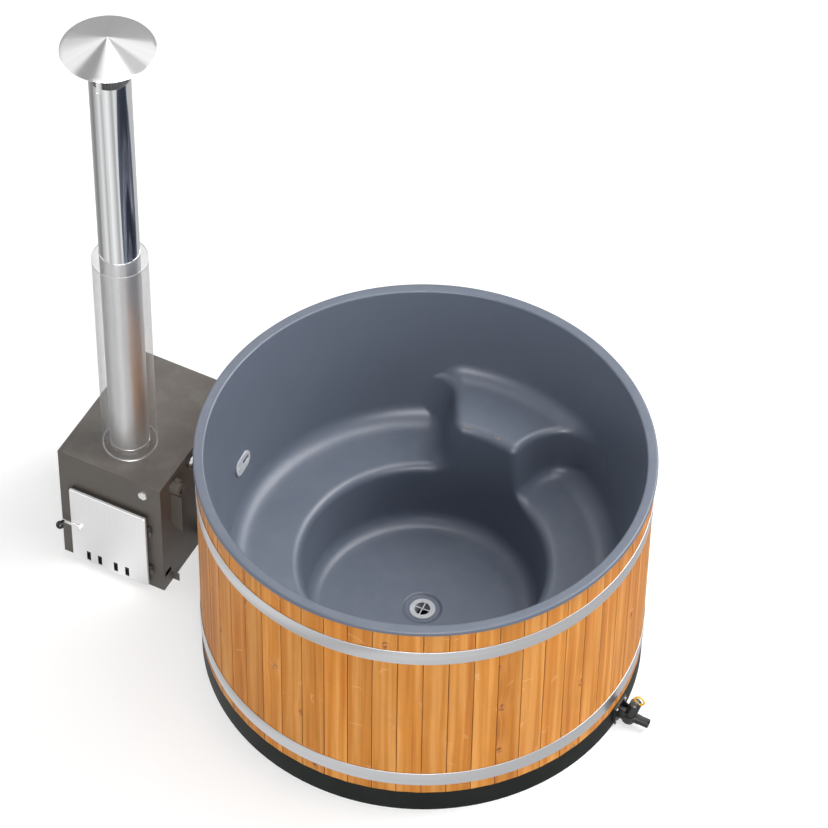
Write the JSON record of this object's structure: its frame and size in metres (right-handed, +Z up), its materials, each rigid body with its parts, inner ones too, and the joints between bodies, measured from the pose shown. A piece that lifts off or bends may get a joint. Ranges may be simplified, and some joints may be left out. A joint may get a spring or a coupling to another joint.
{
  "type": "hot tub",
  "caption": "Round wood-clad hot tub with a moulded liner, seat, step and foot well, steel hoops, a drain valve, and an outside wood-fired stove with a tall capped flue.",
  "frame": {"origin": "on the ground under the tub's axis, in the underside of the middle ground board", "axes": "+Z up; the stove stands on the -X side with its door facing -Y; the drain valve is on the +X side and the raised step on the +Y side of the tub"},
  "size_m": [2.5361, 1.8056, 2.8383],
  "materials": {
    "liner_shell": "satin",
    "wood": "oiled",
    "hoop_steel": "satin",
    "fastener": "satin",
    "foam": "matt",
    "band_plastic": "matt",
    "raw_wood": "rough sawn",
    "drain_plastic": "satin",
    "grate_steel": "satin",
    "rubber": "matt",
    "black_plastic": "satin",
    "yellow_plastic": "gloss",
    "stove_paint": "satin",
    "raw_steel": "scaled",
    "cast_grate": "rough",
    "flue_steel": "polished",
    "guard_mesh": "fine perforation",
    "cap_steel": "spun",
    "plug_metal": "satin",
    "door_steel": "satin",
    "seal_rope": "braided",
    "knob": "gloss"
  },
  "bodies": {
    "tub_and_stove": {"liner": "liner_shell", "staves": "wood", "hoop_upper": "hoop_steel", "hoop_lower": "hoop_steel", "hoop_lugs": "hoop_steel", "hoop_bolts": "fastener", "hoop_nuts": "fastener", "wall_insulation": "foam", "base_band": "band_plastic", "ground_boards": "raw_wood", "joists": "raw_wood", "deck": "raw_wood", "floor_insulation": "foam", "props": "raw_wood", "drain_flange": "drain_plastic", "drain_grate": "grate_steel", "drain_gasket": "rubber", "drain_nut": "black_plastic", "drain_tee": "black_plastic", "drain_pipe": "black_plastic", "return_pipe": "black_plastic", "valve_gasket": "rubber", "valve_body": "black_plastic", "valve_screws": "fastener", "fitting_cover": "drain_plastic", "fitting_screw": "fastener", "fitting_pipe": "black_plastic", "fitting_nut": "black_plastic", "water_hose": "rubber", "hose_clamps": "fastener", "stove_wrap": "stove_paint", "stove_front": "stove_paint", "stove_back": "stove_paint", "stove_floor": "stove_paint", "tank_bearers": "raw_steel", "tank": "raw_steel", "firebox": "raw_steel", "grate_rails": "raw_steel", "fire_grate": "cast_grate", "ash_pan": "raw_steel", "tank_outlet": "raw_steel", "flue": "flue_steel", "guard_foot": "guard_mesh", "heat_guard": "guard_mesh", "rain_cap": "cap_steel", "cap_legs": "cap_steel", "hex_plug": "plug_metal", "spare_outlet": "stove_paint", "outlet_clamp": "stove_paint", "side_brackets": "stove_paint", "casing_screw": "fastener", "hinge_knuckles": "stove_paint", "hinge_pins": "fastener"},
    "door": {"door": "door_steel", "door_seal": "seal_rope"},
    "latch": {"latch": "door_steel", "latch_knob": "knob"},
    "plunger": {"valve_plunger": "black_plastic", "valve_cap": "black_plastic", "pull_ring": "yellow_plastic"}
  },
  "joints": [
    {"name": "door_hinge", "type": "hinge", "parent": "tub_and_stove", "child": "door", "pos_m": [-1.0845, -0.306, 0.235], "axis": [0, 0, 1], "range_deg": [0, 110]},
    {"name": "latch_turn", "type": "hinge", "parent": "door", "child": "latch", "pos_m": [-1.4015, -0.33, 0.234], "axis": [0, -1, 0], "range_deg": [0, 90]},
    {"name": "plunger_lift", "type": "slide", "parent": "tub_and_stove", "child": "plunger", "axis": [0.2418, -0.0063, 0.9703], "range_m": [0, 0.032]}
  ]
}
